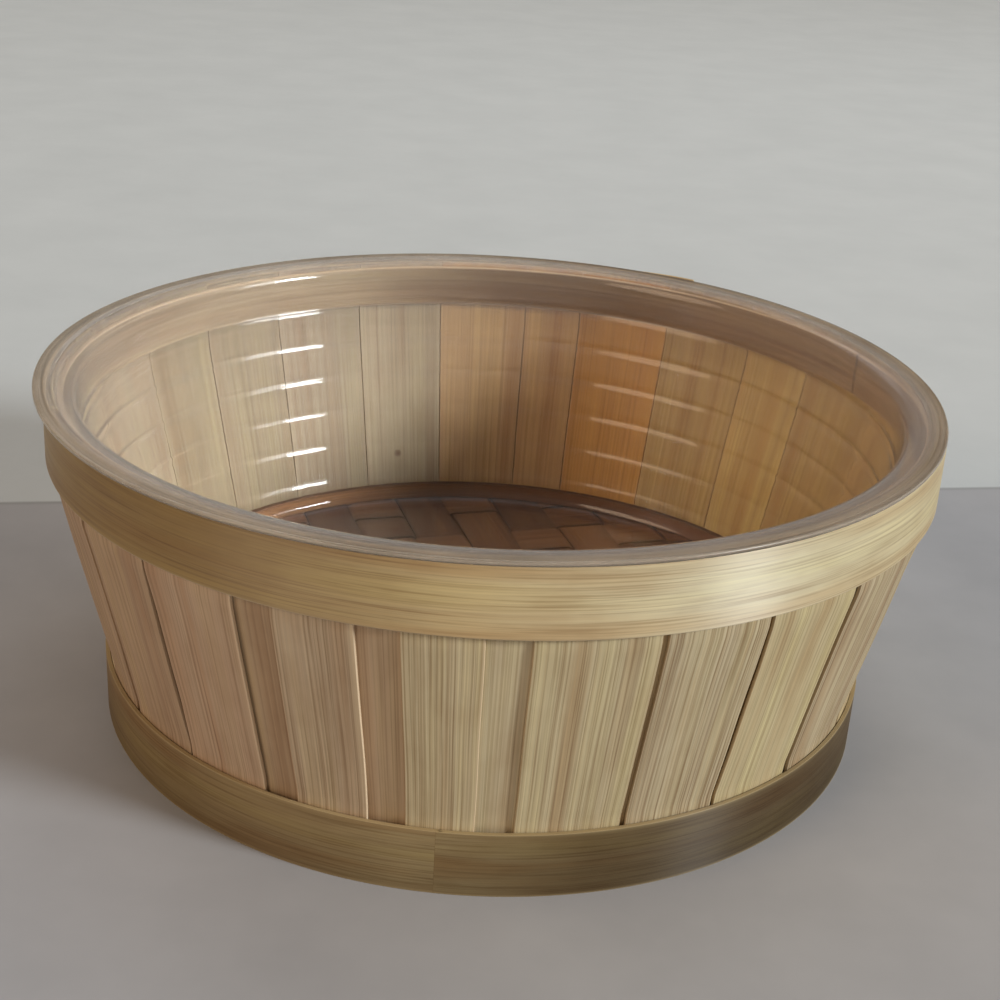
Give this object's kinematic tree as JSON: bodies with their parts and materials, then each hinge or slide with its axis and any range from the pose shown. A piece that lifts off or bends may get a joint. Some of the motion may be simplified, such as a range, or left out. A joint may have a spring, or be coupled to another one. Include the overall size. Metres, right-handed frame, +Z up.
{
  "type": "bamboo steamer basket with clear liner",
  "caption": "Open round flared basket of bamboo staves between bent hoops, with a woven bamboo floor and a ribbed clear liner that lifts straight out.",
  "frame": {"origin": "centre of the foot ring at table level, under the basket's axis", "axes": "+Z up along the basket's axis; -Y towards the side seen in front; +X to its right"},
  "size_m": [0.2804, 0.28, 0.1091],
  "materials": {
    "outer_stave_bamboo": "dry pale straw bamboo veneer with straight fibres up the stave, unvarnished",
    "inner_stave_bamboo": "dry tan bamboo veneer with straight fibres, slightly pinkish",
    "hoop_bamboo": "golden bamboo strip with fine grain along the hoop and a soft satin sheen",
    "floor_bamboo": "reddish tan woven bamboo strips, matt",
    "liner_clear_plastic": "clear glossy thin plastic with a faint lilac grey tint in the thick flange"
  },
  "bodies": {
    "basket": {"outer_stave_01": "outer_stave_bamboo", "outer_stave_02": "outer_stave_bamboo", "outer_stave_03": "outer_stave_bamboo", "outer_stave_04": "outer_stave_bamboo", "outer_stave_05": "outer_stave_bamboo", "outer_stave_06": "outer_stave_bamboo", "outer_stave_07": "outer_stave_bamboo", "outer_stave_08": "outer_stave_bamboo", "outer_stave_09": "outer_stave_bamboo", "outer_stave_10": "outer_stave_bamboo", "outer_stave_11": "outer_stave_bamboo", "outer_stave_12": "outer_stave_bamboo", "outer_stave_13": "outer_stave_bamboo", "outer_stave_14": "outer_stave_bamboo", "outer_stave_15": "outer_stave_bamboo", "outer_stave_16": "outer_stave_bamboo", "outer_stave_17": "outer_stave_bamboo", "outer_stave_18": "outer_stave_bamboo", "outer_stave_19": "outer_stave_bamboo", "outer_stave_20": "outer_stave_bamboo", "outer_stave_21": "outer_stave_bamboo", "outer_stave_22": "outer_stave_bamboo", "outer_stave_23": "outer_stave_bamboo", "outer_stave_24": "outer_stave_bamboo", "outer_stave_25": "outer_stave_bamboo", "inner_stave_01": "inner_stave_bamboo", "inner_stave_02": "inner_stave_bamboo", "inner_stave_03": "inner_stave_bamboo", "inner_stave_04": "inner_stave_bamboo", "inner_stave_05": "inner_stave_bamboo", "inner_stave_06": "inner_stave_bamboo", "inner_stave_07": "inner_stave_bamboo", "inner_stave_08": "inner_stave_bamboo", "inner_stave_09": "inner_stave_bamboo", "inner_stave_10": "inner_stave_bamboo", "inner_stave_11": "inner_stave_bamboo", "inner_stave_12": "inner_stave_bamboo", "inner_stave_13": "inner_stave_bamboo", "inner_stave_14": "inner_stave_bamboo", "inner_stave_15": "inner_stave_bamboo", "inner_stave_16": "inner_stave_bamboo", "inner_stave_17": "inner_stave_bamboo", "inner_stave_18": "inner_stave_bamboo", "inner_stave_19": "inner_stave_bamboo", "inner_stave_20": "inner_stave_bamboo", "inner_stave_21": "inner_stave_bamboo", "inner_stave_22": "inner_stave_bamboo", "inner_stave_23": "inner_stave_bamboo", "inner_stave_24": "inner_stave_bamboo", "inner_stave_25": "inner_stave_bamboo", "outer_rim_hoop": "hoop_bamboo", "inner_rim_hoop": "hoop_bamboo", "outer_base_hoop": "hoop_bamboo", "floor_clamp_hoop": "hoop_bamboo", "floor_support_hoop": "hoop_bamboo", "floor_warp_strips": "floor_bamboo", "floor_weft_strips": "floor_bamboo"},
    "liner": {"liner": "liner_clear_plastic"}
  },
  "joints": [
    {"name": "liner_lift", "type": "slide", "parent": "basket", "child": "liner", "axis": [0, 0, 1], "range_m": [0, 0.115]}
  ]
}
